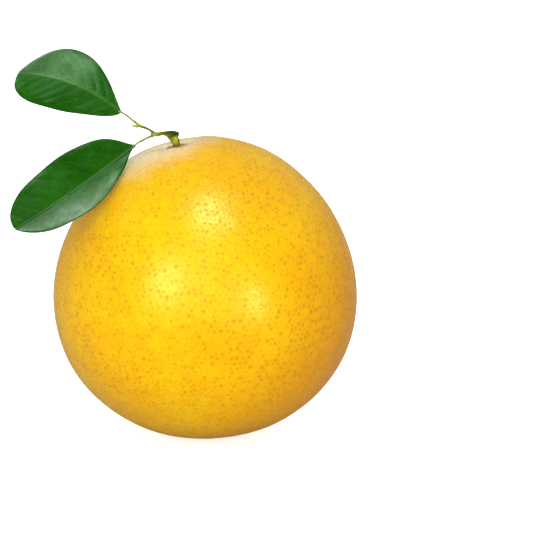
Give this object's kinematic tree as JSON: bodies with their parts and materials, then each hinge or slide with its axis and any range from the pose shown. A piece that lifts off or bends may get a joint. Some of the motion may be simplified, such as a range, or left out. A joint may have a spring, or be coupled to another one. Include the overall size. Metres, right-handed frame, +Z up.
{
  "type": "grapefruit",
  "caption": "Whole ripe yellow grapefruit on a small flat rest spot, with a woody button, a short piece of twig and stalked glossy green leaves",
  "frame": {"origin": "middle of the small flat spot on the underside that the fruit rests on", "axes": "+Z is up; the stem end leans about 11 degrees from +Z towards -X, and the twig and both leaves reach out towards -X"},
  "size_m": [0.1233, 0.11, 0.1395],
  "materials": {
    "rind": "satin",
    "button": "matte",
    "bark": "matte",
    "leaf_stalk": "satin",
    "upper_leaf_blade": "satin",
    "lower_leaf_blade": "satin",
    "bud": "matte"
  },
  "bodies": {
    "root": {"fruit": "rind", "calyx": "button", "twig": "bark", "upper_leaf_stalk": "leaf_stalk", "upper_leaf": "upper_leaf_blade", "lower_leaf_stalk": "leaf_stalk", "lower_leaf": "lower_leaf_blade", "upper_bud": "bud", "lower_bud": "bud"}
  },
  "joints": []
}
